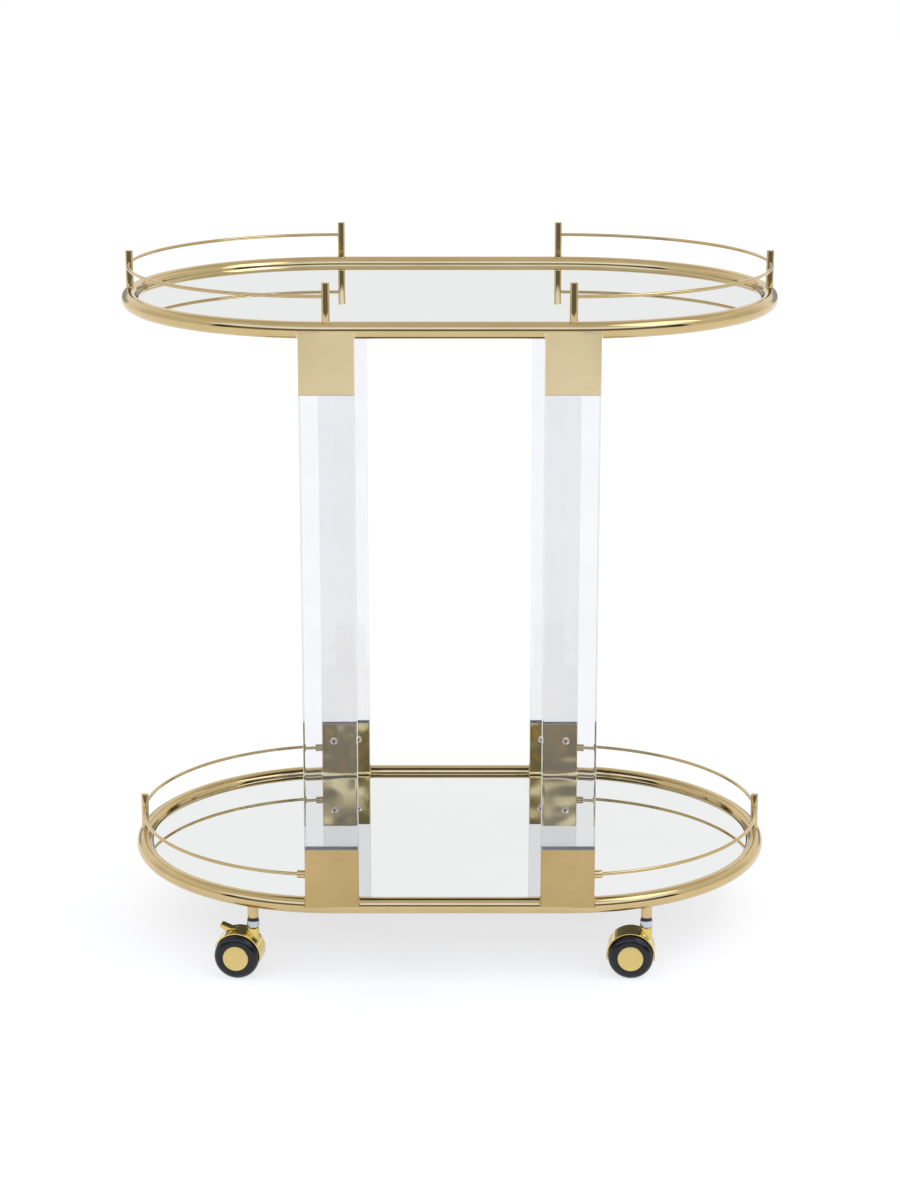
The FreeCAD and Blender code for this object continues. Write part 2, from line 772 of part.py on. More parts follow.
def socket(end, side):
    """A short tube welded under the ring."""
    x, y = corner_spot(end, side)
    height = sized("lower_ring_height") - "socket_end"
    outside = cylinder("socket_tube", "socket_radius", height, x, y, "socket_end")
    bore = cylinder("socket_bore", "socket_bore", height, x, y, "socket_end")
    ring = bend("socket_cope", "tube_radius", ENDS[end], "lower_ring_height")
    return cut("socket", outside, bore, ring)


def socket_insert(end, side):
    """A plastic plug with a flange that fills the socket and grips the stem."""
    x, y = corner_spot(end, side)
    flange = cylinder("insert_flange", "socket_radius", sized("socket_end") - "insert_end", x, y, "insert_end")
    plug = cylinder("insert_plug", "socket_bore", sized("insert_top") - "insert_end", x, y, "insert_end")
    bore = cylinder("insert_bore", "stem_radius", "insert_top", x, y)
    return cut("insert", fuse("insert_body", flange, plug), bore)


def stem(end, side):
    """The steel stem: gripped by the insert above its collar, and the caster turns on it below."""
    x, y = corner_spot(end, side)
    shaft = cylinder("stem_shaft", "stem_radius", sized("insert_top") - "stem_end", x, y, "stem_end")
    collar = cylinder("stem_collar", "collar_radius", sized("insert_end") - "collar_end", x, y, "collar_end")
    return fuse("stem", shaft, collar)


# Assembly


def build_shelves(rods):
    for level in RING_HEIGHTS:
        ring_tube(level)
        mirror_shelf(level)
        ledge(level, rods)
    mirror_pads()


def build_legs(rods):
    for side in SIDES:
        for end in ENDS:
            leg(side, end)
            for level in RING_HEIGHTS:
                sleeve(level, side, end, rods)
    sleeve_screws()


def build_rails(rods):
    for end in ENDS:
        upper_rod = rail("upper", end, 0)
        upper_posts(end, rods, upper_rod)
        lower_rod = rail("lower", end, ROD_END_ANGLE)
        lower_post(end, rods, lower_rod)
        group(f"lower_rail_ferrules_{end}", [ferrule(end, side, lower_rod) for side in SIDES])


def build_casters():
    group("caster_sockets", [socket(end, side) for end, side in corners()])
    group("socket_inserts", [socket_insert(end, side) for end, side in corners()])
    group("caster_stems", [stem(end, side) for end, side in corners()])
    for end, side in corners():
        caster_hood(end, side)
        caster_axle(end, side)
        for which in ("outer", "inner"):
            wheel(end, side, which)
            wheel_cap(end, side, which)
        if end == BRAKED_END:
            brake_lever(end, side)


def check_document():
    """Stops if any object failed to rebuild or any sub-part isn't a sound solid."""
    for item in doc.Objects:
        bad = {"Invalid", "Error"} & set(item.State)
        if bad:
            raise RuntimeError(f"{item.Name} is {bad}")
    for label, made in parts.items():
        shape = made.Shape
        if shape.isNull() or not shape.isValid() or not shape.Solids:
            raise RuntimeError(f"{label} has no sound solid")
        print(f"{label}: {len(shape.Solids)} solids, {shape.Volume / 1000:.1f} cm3")


def export_parts():
    os.makedirs("parts", exist_ok=True)
    for label, made in parts.items():
        made.Shape.exportStep(f"parts/{label}.step")


def main():
    rods = ring_rods("ring_rod", "tube_radius")
    build_shelves(rods)
    build_legs(rods)
    build_rails(rods)
    build_casters()
    doc.recompute()
    check_document()
    export_parts()


main()
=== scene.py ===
import json
import math
from itertools import repeat

import bmesh
import bpy
from mathutils import Matrix, Vector


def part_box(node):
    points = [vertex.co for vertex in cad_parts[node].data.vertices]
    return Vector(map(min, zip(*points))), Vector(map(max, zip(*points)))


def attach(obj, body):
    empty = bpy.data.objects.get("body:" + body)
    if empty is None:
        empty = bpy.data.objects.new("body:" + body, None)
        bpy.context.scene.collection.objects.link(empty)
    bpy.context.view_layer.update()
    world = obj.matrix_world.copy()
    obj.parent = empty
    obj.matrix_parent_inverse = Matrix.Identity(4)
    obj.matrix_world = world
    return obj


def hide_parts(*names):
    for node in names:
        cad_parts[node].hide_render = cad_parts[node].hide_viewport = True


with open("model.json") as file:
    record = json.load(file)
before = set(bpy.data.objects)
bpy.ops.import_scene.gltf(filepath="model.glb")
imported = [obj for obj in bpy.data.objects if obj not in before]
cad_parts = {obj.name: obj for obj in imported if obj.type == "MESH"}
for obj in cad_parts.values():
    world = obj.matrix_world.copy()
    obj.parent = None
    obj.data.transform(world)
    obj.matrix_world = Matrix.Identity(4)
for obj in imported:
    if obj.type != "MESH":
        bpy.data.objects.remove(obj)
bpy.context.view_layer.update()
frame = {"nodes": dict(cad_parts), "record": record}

# The looks of an oval two-shelf bar cart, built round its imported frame.
# Metres, +Z up, +X along the length and the front at -Y, as in the frame. Each caster's pieces are built in
# a frame of their own, with the stem on the Z axis and the axle at -X, and are then moved to their corner.

RECORD = frame["record"]
BODIES = {node: body for body, nodes in RECORD["behaviour"]["bodies"].items() for node in nodes}
JOINTS = {joint["name"]: joint for joint in RECORD["behaviour"]["joints"]}

ENDS = {"left": -1, "right": 1}
SIDES = {"front": -1, "rear": 1}
LEVELS = {"lower": 1, "upper": -1}  # the way that a level's sleeves point
BRAKED_END = "left"  # its casters have brakes

MM = 0.001
TOUCH = 1e-6  # places closer than this are the same
SLIGHT = 0.01  # the part of a direction that counts as none


# Measures of the frame


def middle(node):
    low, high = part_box(node)
    return (low + high) / 2


def reach(node):
    low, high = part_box(node)
    return (high - low) / 2


TUBE = 9.5 * MM
RING_REACH = reach("lower_ring_tube")
BEND = RING_REACH.y - TUBE  # radius of the ring's round ends, to the middle of the tube
STRAIGHT = RING_REACH.x - RING_REACH.y  # half of the ring's straight stretch
RING_Z = {level: middle(f"{level}_ring_tube").z for level in LEVELS}

LEDGE_WIDTH = 12.0 * MM

LEG_HALF = Vector((30.5, 9.4)) * MM
LEG_EDGE = 0.5 * MM
SLEEVE_WALL = 1.5 * MM
SLEEVE_REACH = 70.0 * MM  # from the middle of the tube to the sleeve's rim
SLEEVE_CORNER = 1.1 * MM
FIT_GAP = 0.08 * MM  # between a leg's tenon and its sleeve

POST_RADIUS = 4.4 * MM
RAIL_RADIUS = 2.0 * MM
FERRULE_RADIUS = 4.6 * MM
FERRULE_LENGTH = 9.5 * MM

WHEEL = 26.0 * MM
TRAIL = 17.0 * MM  # from the stem back to the axle
DRUM = 28.0 * MM  # the hood's outside, from the axle
DRUM_WALL = 1.2 * MM
DRUM_HALF = 15.0 * MM
WEB_HALF = 4.0 * MM  # half the plate between the wheels
NECK_RADIUS = 6.8 * MM
NECK_TOP = 58.2 * MM


# Shapes


class Skin:
    """Vertices and faces that become one mesh, made of loops of points joined to each other."""

    def __init__(self):
        self.points = []
        self.faces = []
        self.slots = []

    def loop(self, points):
        first = len(self.points)
        self.points.extend(tuple(point) for point in points)
        return list(range(first, len(self.points)))

    def face(self, corners, slot=0):
        self.faces.append(corners)
        self.slots.append(slot)

    def bridge(self, one, two, slot=0):
        """Quads between two loops of the same length."""
        count = len(one)
        for i in range(count):
            j = (i + 1) % count
            self.face((one[i], one[j], two[j], two[i]), slot)

    def stack(self, rows, slot=0, round_trip=False, ends=True):
        """Joins rows of points one after another, and closes the stack with caps or back to its start."""
        loops = [self.loop(row) for row in rows]
        for one, two in zip(loops, loops[1:]):
            self.bridge(one, two, slot)
        if round_trip:
            self.bridge(loops[-1], loops[0], slot)
        elif ends:
            self.face(loops[0][::-1], slot)
            self.face(loops[-1], slot)
        return loops

    def add(self, other, matrix):
        """Adds a copy of another skin, moved by the matrix."""
        shift = len(self.points)
        self.loop([matrix @ Vector(point) for point in other.points])
        for corners, slot in zip(other.faces, other.slots):
            self.face([corner + shift for corner in corners], slot)

    def mesh(self, name, materials, crease=32.0):
        """The skin as a mesh with its faces outwards, smooth but for edges sharper than crease degrees."""
        data = bpy.data.meshes.new(name)
        data.from_pydata(self.points, [], self.faces)
        for material in materials:
            data.materials.append(material)
        for polygon, slot in zip(data.polygons, self.slots):
            polygon.material_index = slot
        work = bmesh.new()
        work.from_mesh(data)
        bmesh.ops.remove_doubles(work, verts=work.verts, dist=1e-7)
        bmesh.ops.recalc_face_normals(work, faces=work.faces)
        work.to_mesh(data)
        work.free()
        data.shade_smooth()
        data.set_sharp_from_angle(angle=math.radians(crease))
        return data


def put(name, data, matrix=None):
    """An object of the scene with that mesh."""
    made = bpy.data.objects.new(name, data)
    bpy.context.scene.collection.objects.link(made)
    if matrix is not None:
        made.matrix_world = matrix
    return made


def stand_in(node, data, matrix=None):
    """Puts a mesh in the place of a CAD node, on the node's body."""
    made = put(f"{node}_shape", data, matrix)
    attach(made, BODIES[node])
    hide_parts(node)
    return made


def rounded_profile(corners, steps=5):
    """Places along a line of (a, b, rounding) corners, each an arc with its rounding as the radius."""
    places = []
    for i, (a, b, rounding) in enumerate(corners):
        here = Vector((a, b))
        if rounding == 0 or i in (0, len(corners) - 1):
            places.append(here)
            continue
        back = (Vector(corners[i - 1][:2]) - here).normalized()
        ahead = (Vector(corners[i + 1][:2]) - here).normalized()
        half = back.angle(ahead) / 2
        centre = here + (back + ahead).normalized() * (rounding / math.sin(half))
        start = here + back * (rounding / math.tan(half)) - centre
        turn = start.angle_signed(here + ahead * (rounding / math.tan(half)) - centre)
        for step in range(steps + 1):
            places.append(centre + Matrix.Rotation(-turn * step / steps, 2) @ start)
    return places


def turns(steps):
    """Angles evenly round a whole turn."""
    return [math.tau * i / steps for i in range(steps)]


def circle(radius, z, steps):
    """Points round the Z axis."""
    return [(radius * math.cos(turn), radius * math.sin(turn), z) for turn in turns(steps)]


def lathe(skin, corners, steps=64):
    """Turns a profile of (radius, height, rounding) corners round Z, starting and ending on the axis."""
    skin.stack([circle(r, z, steps) for r, z in rounded_profile(corners)[1:-1]])


def round_wall(centre, radius, steps=48):
    """Plan places and outward directions round a circle."""
    spots = []
    for turn in turns(steps):
        out = Vector((math.cos(turn), math.sin(turn)))
        spots.append((centre + out * radius, out))
    return spots


def stadium(radius):
    """Plan places and outward directions round the shelf's outline, anticlockwise from the front right."""
    bend_steps, straight_steps = 96, 12
    spots = []
    for way in (1, -1):
        for i in range(bend_steps):
            turn = math.pi * (i / bend_steps - 0.5)
            out = Vector((math.cos(turn), math.sin(turn))) * way
            spots.append((Vector((STRAIGHT * way, 0)) + out * radius, out))
        for i in range(straight_steps):
            x = STRAIGHT * way * (1 - 2 * i / straight_steps)
            spots.append((Vector((x, radius * way)), Vector((0, way))))
    return spots


def sweep_round(skin, section, z):
    """Sweeps a closed section of (offset outwards, height) places round the middle of the tube."""
    rows = []
    for place, out in stadium(BEND):
        rows.append([(*(place + out * offset), z + height) for offset, height in section])
    skin.stack(rows, round_trip=True)


def rounded_rectangle(half, radius):
    """Places and outward directions round a rectangle, anticlockwise from its lower right corner."""
    steps, along_x, along_y = 5, 16, 8
    spots = []
    ways = ((1, -1), (1, 1), (-1, 1), (-1, -1))
    for i, (x, y) in enumerate(ways):
        centre = Vector(((half[0] - radius) * x, (half[1] - radius) * y))
        for step in range(steps + 1):
            turn = math.radians(90 * (i - 1 + step / steps))
            out = Vector((math.cos(turn), math.sin(turn)))
            spots.append((centre + out * radius, out))
        last, out = spots[-1]
        x, y = ways[(i + 1) % 4]
        following = Vector(((half[0] - radius) * x, (half[1] - radius) * y)) + out * radius
        count = along_y if i % 2 == 0 else along_x
        spots += [(last.lerp(following, step / count), out) for step in range(1, count)]
    return spots


# The ring's tube, and welds onto it


def core_of(place):
    """The nearest plan place on the middle of the tube, and the outward direction there."""
    if abs(place.x) <= STRAIGHT:
        out = Vector((0, math.copysign(1, place.y)))
        return Vector((place.x, BEND * out.y)), out
    centre = Vector((math.copysign(STRAIGHT, place.x), 0))
    out = (place - centre).normalized()
    return centre + out * BEND, out


def tube_skin(place, height):
    """The tube's skin towards a place and a height, as a plan place and a height above the tube's middle."""
    core, out = core_of(place)
    across = (place - core).dot(out)
    scale = TUBE / math.hypot(across, height)
    return core + out * across * scale, height * scale


def tube_height(place):
    """The height of the tube's skin above its middle at a plan place, or 0 beside the tube."""
    core, out = core_of(place)
    across = (place - core).dot(out)
    return math.sqrt(max(TUBE**2 - across**2, 0))


def weld_rows(spots, z, way, sizes):
    """Rows of points from the tube's skin up a wall that stands on it, with a smoothed weld.

    spots are the wall's plan places and outward directions, and sizes the weld's size at each.
    way is 1 above the tube and -1 below it.
    """
    steps = 6
    rows = [[] for _ in range(steps + 1)]
    for (place, out), size in zip(spots, sizes):
        knee = tube_height(place)
        foot, foot_height = tube_skin(place + out * size, knee)
        for i, row in enumerate(rows):
            t = i / steps
            spot = foot * (1 - t) ** 2 + place * (1 - (1 - t) ** 2)
            height = foot_height * (1 - t) ** 2 + knee * 2 * t * (1 - t) + (knee + size) * t**2
            row.append((*spot, z + height * way))
    return rows


# Materials

NOISE_RANGE = 0.3, 0.7  # nearly all of a noise's values


class Graph:
    """Adds shader nodes to a tree and joins them."""

    def __init__(self, tree):
        self.tree = tree

    def add(self, kind, inputs=None, **settings):
        made = self.tree.nodes.new(kind)
        for key, value in settings.items():
            setattr(made, key, value)
        for key, value in (inputs or {}).items():
            self.feed(made.inputs[key], value)
        return made

    def feed(self, socket, value):
        if isinstance(value, bpy.types.NodeSocket):
            self.tree.links.new(value, socket)
        else:
            socket.default_value = value

    def noise(self, scale, stretch=(1, 1, 1), detail=4.0):
        """Noise over the object, with features about 1 / scale metres across."""
        coords = self.add("ShaderNodeTexCoord").outputs["Object"]
        mapped = self.add("ShaderNodeMapping", {"Vector": coords, "Scale": stretch}).outputs["Vector"]
        inputs = {"Vector": mapped, "Scale": scale, "Detail": detail}
        return self.add("ShaderNodeTexNoise", inputs).outputs["Fac"]

    def spread(self, noise, low, high):
        """The noise as a number from low to high."""
        start, end = NOISE_RANGE
        inputs = {"Value": noise, "From Min": start, "From Max": end, "To Min": low, "To Max": high}
        return self.add("ShaderNodeMapRange", inputs).outputs["Result"]

    def shades(self, value, low, high, between=NOISE_RANGE):
        """The value as a colour from low to high."""
        ramp = self.add("ShaderNodeValToRGB", {"Fac": value})
        first, last = ramp.color_ramp.elements
        first.position, last.position = between
        first.color, last.color = low, high
        return ramp.outputs["Color"]

    def bump(self, height, depth, strength=1.0):
        """A normal from a height that runs from 0 to 1, as deep as depth in metres."""
        inputs = {"Height": height, "Distance": depth, "Strength": strength}
        return self.add("ShaderNodeBump", inputs).outputs["Normal"]

    def calculate(self, operation, first, second=0.0):
        return self.add("ShaderNodeMath", {0: first, 1: second}, operation=operation).outputs[0]


def paint(red, green, blue):
    """A colour given in display values from 0 to 255, on the sRGB curve."""
    linear = [((v / 255 + 0.055) / 1.055) ** 2.4 if v > 10 else v / 255 / 12.92 for v in (red, green, blue)]
    return (*linear, 1.0)


def surface(name, **sockets):
    """A new material, with its graph and its shader. The sockets' names have _ for a space."""
    made = bpy.data.materials.new(name)
    made.use_nodes = True
    shader = made.node_tree.nodes["Principled BSDF"]
    for key, value in sockets.items():
        shader.inputs[key.replace("_", " ")].default_value = value
    return made, Graph(made.node_tree), shader


def polished_metal(name, dull, bright, roughness, waviness=0.12 * MM, waves=45):
    """Plated metal: slow changes of tone, fine buffing marks and a surface that isn't quite true."""
    made, graph, shader = surface(name, Metallic=1.0)
    tone = graph.noise(18, detail=3.0)
    marks = graph.noise(900, stretch=(0.25, 0.25, 1.0), detail=6.0)
    graph.feed(shader.inputs["Base Color"], graph.shades(tone, dull, bright))
    graph.feed(shader.inputs["Roughness"], graph.spread(marks, roughness * 0.7, roughness * 1.5))
    graph.feed(shader.inputs["Normal"], graph.bump(graph.noise(waves, detail=1.0), waviness))
    return made


def brushed_metal(name, dull, bright, roughness, stretch=(0.02, 0.02, 1.0)):
    """Sheet metal brushed along its width: long fine streaks in tone, roughness and height."""
    made, graph, shader = surface(name, Metallic=1.0)
    streaks = graph.noise(2600, stretch=stretch, detail=5.0)
    broad = graph.noise(14, detail=2.0)
    tone = graph.calculate("MULTIPLY", streaks, broad)
    graph.feed(shader.inputs["Base Color"], graph.shades(tone, dull, bright, between=(0.12, 0.4)))
    graph.feed(shader.inputs["Roughness"], graph.spread(streaks, roughness * 0.8, roughness * 1.25))
    graph.feed(shader.inputs["Normal"], graph.bump(streaks, 0.012 * MM, 0.5))
    return made


def acrylic(name, dull, clear, smoothest, roughest, ripple=0.0):
    """Clear cast acrylic with hardly visible swirl marks, or with the ripple of a sanded edge."""
    made, graph, shader = surface(name, Transmission_Weight=1.0, IOR=1.49)
    graph.feed(shader.inputs["Base Color"], graph.shades(graph.noise(8, detail=2.0), dull, clear))
    graph.feed(shader.inputs["Roughness"], graph.spread(graph.noise(400), smoothest, roughest))
    if ripple:
        graph.feed(shader.inputs["Normal"], graph.bump(graph.noise(700, detail=2.0), ripple))
    return made


def mirror_silver():
    """The silvered face, seen through clear glass."""
    made, graph, shader = surface("mirror_silver", Metallic=1.0)
    tone = graph.shades(graph.noise(5), paint(233, 236, 235), paint(235, 238, 237))
    graph.feed(shader.inputs["Base Color"], tone)
    graph.feed(shader.inputs["Roughness"], graph.spread(graph.noise(300), 0.0, 0.012))
    return made


def mirror_edge():
    """The ground and polished edge of the glass, green-grey from within."""
    made, graph, shader = surface("mirror_edge", IOR=1.52, Coat_Weight=0.6, Coat_Roughness=0.05)
    tone = graph.shades(graph.noise(90), paint(96, 128, 116), paint(128, 156, 144))
    graph.feed(shader.inputs["Base Color"], tone)
    graph.feed(shader.inputs["Roughness"], graph.spread(graph.noise(1200), 0.12, 0.3))
    return made


def mirror_back():
    """Dark grey backing paint, rolled on."""
    made, graph, shader = surface("mirror_back")
    mottle = graph.noise(160, detail=6.0)
    graph.feed(shader.inputs["Base Color"], graph.shades(mottle, paint(50, 52, 54), paint(68, 70, 72)))
    graph.feed(shader.inputs["Roughness"], graph.spread(mottle, 0.45, 0.65))
    graph.feed(shader.inputs["Normal"], graph.bump(mottle, 0.05 * MM, 0.6))
    return made


def tread():
    """Cast black polyurethane: glossy, with a soft orange-peel skin and a little dust."""
    made, graph, shader = surface("tread", IOR=1.5, Specular_IOR_Level=0.4)
    dust = graph.noise(140, detail=7.0)
    tone = graph.shades(dust, paint(19, 19, 23), paint(30, 30, 35), between=(0.45, 0.8))
    graph.feed(shader.inputs["Base Color"], tone)
    graph.feed(shader.inputs["Roughness"], graph.spread(dust, 0.15, 0.25))
    graph.feed(shader.inputs["Normal"], graph.bump(graph.noise(900, detail=2.0), 0.02 * MM, 0.4))
    return made


def spun_gold():
    """Gold-coloured caps with a satin face turned round its middle."""
    made, graph, shader = surface("spun_gold", Metallic=1.0)
    coords = graph.add("ShaderNodeTexCoord").outputs["Object"]
    split = graph.add("ShaderNodeSeparateXYZ", {"Vector": coords})
    flat = graph.add("ShaderNodeCombineXYZ", {"X": split.outputs["X"], "Y": split.outputs["Y"]})
    length = graph.add("ShaderNodeVectorMath", {0: flat.outputs["Vector"]}, operation="LENGTH")
    inputs = {"W": length.outputs["Value"], "Scale": 2200.0, "Detail": 3.0}
    marks = graph.add("ShaderNodeTexNoise", inputs, noise_dimensions="1D").outputs["Fac"]
    graph.feed(shader.inputs["Base Color"], graph.shades(marks, paint(214, 190, 118), paint(228, 206, 138)))
    graph.feed(shader.inputs["Roughness"], graph.spread(marks, 0.34, 0.46))
    graph.feed(shader.inputs["Normal"], graph.bump(marks, 0.01 * MM, 0.5))
    return made


def moulded_plastic(name, dark, light, roughness):
    """Moulded plastic with a fine spark-eroded grain."""
    made, graph, shader = surface(name, IOR=1.5)
    grain = graph.noise(1500, detail=3.0)
    graph.feed(shader.inputs["Base Color"], graph.shades(graph.noise(60), dark, light))
    graph.feed(shader.inputs["Roughness"], graph.spread(grain, roughness * 0.85, roughness * 1.15))
    graph.feed(shader.inputs["Normal"], graph.bump(grain, 0.02 * MM, 0.5))
    return made


GOLD = polished_metal("polished_gold", paint(199, 175, 125), paint(208, 185, 136), 0.06)
# Lit and shaded copies of one brushed brass: the upper sleeves' copy is painted lighter as light, the lower
# sleeves' copy is painted darker as shade.
SLEEVE_GOLD_LIT_AND_SHADED = {
    "lower": brushed_metal("brushed_gold_lower_painted_shade", paint(184, 157, 105), paint(198, 172, 120), 0.34),
    "upper": brushed_metal("brushed_gold_upper_painted_light", paint(221, 201, 157), paint(232, 214, 171), 0.34),
}
SLEEVE_POLISHED = polished_metal(
    "sleeve_inner_face", paint(196, 173, 114), paint(212, 191, 134), 0.14, waviness=3.4 * MM, waves=24
)
SCREW_BRASS = polished_metal("screw_brass", paint(228, 208, 186), paint(240, 222, 200), 0.35)
# Painted shade: the sleeves' inside walls are the same plated metal, coloured dark brown for the shade inside
# the sleeve.
SLEEVE_INSIDE_PAINTED_SHADE = polished_metal("sleeve_inside_painted_shade", paint(62, 56, 50), paint(84, 76, 66), 0.5)
SATIN_GOLD = brushed_metal("satin_gold", paint(186, 158, 108), paint(206, 178, 126), 0.42, (0.3, 0.3, 1.0))
CAST_GOLD = polished_metal(
    "cast_gold", paint(210, 186, 108), paint(228, 205, 128), 0.06, waviness=0.2 * MM, waves=90
)
STEEL = polished_metal("bright_zinc", paint(178, 188, 196), paint(204, 211, 216), 0.2)
ACRYLIC = acrylic("acrylic", paint(238, 238, 239), paint(240, 240, 241), 0.0, 0.012)
ACRYLIC_EDGE = acrylic(
    "acrylic_edge", paint(234, 235, 238), paint(240, 241, 243), 0.3, 0.4, ripple=0.5 * MM
)
BOND = moulded_plastic("bond", paint(186, 184, 188), paint(206, 203, 207), 0.35)
SILVER, GROUND_EDGE, BACKING = range(3)  # a mirror's material slots
MIRROR = [mirror_silver(), mirror_edge(), mirror_back()]
TREAD = tread()
CAP_GOLD = spun_gold()
# Real black plastic for the socket inserts. On the screws it is painted shade in the key holes.
BLACK_PLASTIC_AND_PAINTED_SHADE = moulded_plastic("black_plastic", paint(18, 18, 20), paint(26, 26, 28), 0.38)
CLEAR_PAD = moulded_plastic("clear_pad", paint(205, 208, 206), paint(222, 224, 222), 0.3)


# Shelves


def ring_tube(level):
    skin = Skin()
    section = [(TUBE * math.cos(turn), TUBE * math.sin(turn)) for turn in turns(48)]
    sweep_round(skin, section, RING_Z[level])
    node = f"{level}_ring_tube"
    stand_in(node, skin.mesh(node, [GOLD]))


def mirror(level):
    """A silvered sheet with its edges ground to a small chamfer."""
    node = f"{level}_mirror"
    low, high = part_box(node)
    half_depth = high.y
    chamfer = 0.7 * MM
    skin = Skin()
    rows = []
    for inset, z in ((chamfer, low.z), (0, low.z + chamfer), (0, high.z - chamfer), (chamfer, high.z)):
        rows.append([(*place, z) for place, _ in stadium(half_depth - inset)])
    loops = skin.stack(rows, GROUND_EDGE, ends=False)
    skin.face(loops[0][::-1], BACKING)
    skin.face(loops[-1], SILVER)
    stand_in(node, skin.mesh(node, MIRROR, crease=20))


def ledge(level):
    """The flat strip inside the tube, with an eased edge. Offsets are from the middle of the tube."""
    node = f"{level}_ledge"
    low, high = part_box(node)
    outer = -low.y - BEND
    inner = -TUBE - LEDGE_WIDTH
    ease = 0.4 * MM
    corners = [
        (inner, low.z + ease),
        (inner + ease, low.z),
        (outer, low.z),
        (outer, high.z),
        (inner + ease, high.z),
        (inner, high.z - ease),
    ]
    skin = Skin()
    sweep_round(skin, corners, 0)
    stand_in(node, skin.mesh(node, [SATIN_GOLD]))


def shrunk(half, by):
    """The half sizes of a rectangle whose sides are moved inwards."""
    return half - Vector((by, by))


def legs():
    """Acrylic slabs with a shouldered tenon at each end."""
    ease = 0.25 * MM
    shoulder_low = RING_Z["lower"] + SLEEVE_REACH + FIT_GAP
    shoulder_high = RING_Z["upper"] - SLEEVE_REACH - FIT_GAP
    slab = rounded_rectangle(LEG_HALF, LEG_EDGE)
    eased = rounded_rectangle(shrunk(LEG_HALF, ease), LEG_EDGE - ease)
    tenon = rounded_rectangle(shrunk(LEG_HALF, SLEEVE_WALL + FIT_GAP), LEG_EDGE / 2)
    following = slab[1:] + slab[:1]
    at_side = [max(abs(one.x), abs(two.x)) > SLIGHT for (_, one), (_, two) in zip(slab, following)]
    clear, edge, joined = range(3)  # the material slots
    for side, out in SIDES.items():
        for end, way in ENDS.items():
            node = f"acrylic_leg_{side}_{end}"
            low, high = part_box(node)
            centre = Vector((STRAIGHT * way, BEND * out))
            rows = []
            for outline, z in (
                (tenon, low.z + FIT_GAP),
                (tenon, shoulder_low),
                (eased, shoulder_low),
                (slab, shoulder_low + ease),
                (slab, shoulder_high - ease),
                (eased, shoulder_high),
                (tenon, shoulder_high),
                (tenon, high.z - FIT_GAP),
            ):
                rows.append([(*(centre + place), z) for place, _ in outline])
            skin = Skin()
            skin.stack(rows)
            tenons_and_shoulders = (0, 1, len(rows) - 3, len(rows) - 2)
            for i in range(len(slab) * (len(rows) - 1)):
                row, spot = divmod(i, len(slab))
                if row in tenons_and_shoulders:
                    skin.slots[i] = joined
                else:
                    skin.slots[i] = edge if at_side[spot] else clear
            stand_in(node, skin.mesh(node, [ACRYLIC, ACRYLIC_EDGE, BOND], crease=30))


def uneven_weld(place):
    """How much larger or smaller than meant a weld is, since it was filed by hand. It varies along X."""
    across = place.x / LEG_HALF.x
    return 1.3 * MM * math.sin(across * 3.4 + 0.6) * math.cos(across * 1.3)


def spread_foot(rows, spots, z):
    """Spreads the foot of a lower sleeve's inner face over the tube and the mirror's edge, in a low cove."""
    start, lip, rise = 1.1 * MM, 1.9 * MM, 5.0 * MM
    slope, unevenness = 2.5, 0.6
    for i, row in enumerate(rows):
        t = i / (len(rows) - 1)
        for j, (place, out) in enumerate(spots):
            core, outwards = core_of(place)
            inner = max(-out.dot(outwards), 0) ** 2
            covered = max(TUBE - abs((place - core).dot(outwards)), 0)
            spot = place + out * (covered + lip) * (1 - t) ** 2
            height = start + (rise + slope * covered + uneven_weld(place) * unevenness) * t
            row[j] = Vector(row[j]).lerp(Vector((*spot, z + height)), inner)


def sleeve(level, side, end):
    """A folded sleeve welded over the tube: brushed, but polished on the face towards the cart's middle. The
    brushed faces are painted lighter on the upper level and darker as shade on the lower one, and the inside
    walls are painted dark as shade.
    """
    node = f"{level}_sleeve_{side}_{end}"
    way = LEVELS[level]
    z = RING_Z[level]
    centre = Vector((STRAIGHT * ENDS[end], BEND * SIDES[side]))
    rim = z + SLEEVE_REACH * way
    ease, weld = 0.3 * MM, 2.2 * MM
    outside = [(centre + place, out) for place, out in rounded_rectangle(LEG_HALF, SLEEVE_CORNER)]
    eased = rounded_rectangle(shrunk(LEG_HALF, ease), SLEEVE_CORNER - ease)
    inside = rounded_rectangle(shrunk(LEG_HALF, SLEEVE_WALL), SLEEVE_CORNER / 2)
    sizes = [weld + uneven_weld(place - centre) for place, _ in outside]
    rows = weld_rows(outside, z, way, sizes)
    if level == "lower":
        spread_foot(rows, outside, z)
    rows.append([(*place, rim - ease * way) for place, _ in outside])
    rows.append([(*(centre + place), rim) for place, _ in eased])
    brushed, polished, dark = range(3)  # the material slots
    skin = Skin()
    loops = skin.stack(rows, ends=False)
    mouth = skin.loop([(*(centre + place), rim) for place, _ in inside])
    skin.bridge(loops[-1], mouth)
    root = skin.loop([(*(centre + place), z) for place, _ in inside])
    # The inside walls take the dark slot, which is painted shade.
    skin.bridge(mouth, root, dark)
    skin.bridge(root, loops[0], dark)
    inner_face = abs(centre.y) - LEG_HALF.y + TOUCH
    for i, corners in enumerate(skin.faces):
        faces_middle = all(abs(skin.points[corner][1]) < inner_face for corner in corners)
        if faces_middle and skin.slots[i] == brushed:
            skin.slots[i] = polished
    stand_in(node, skin.mesh(node, [SLEEVE_GOLD_LIT_AND_SHADED[level], SLEEVE_POLISHED, SLEEVE_INSIDE_PAINTED_SHADE]))


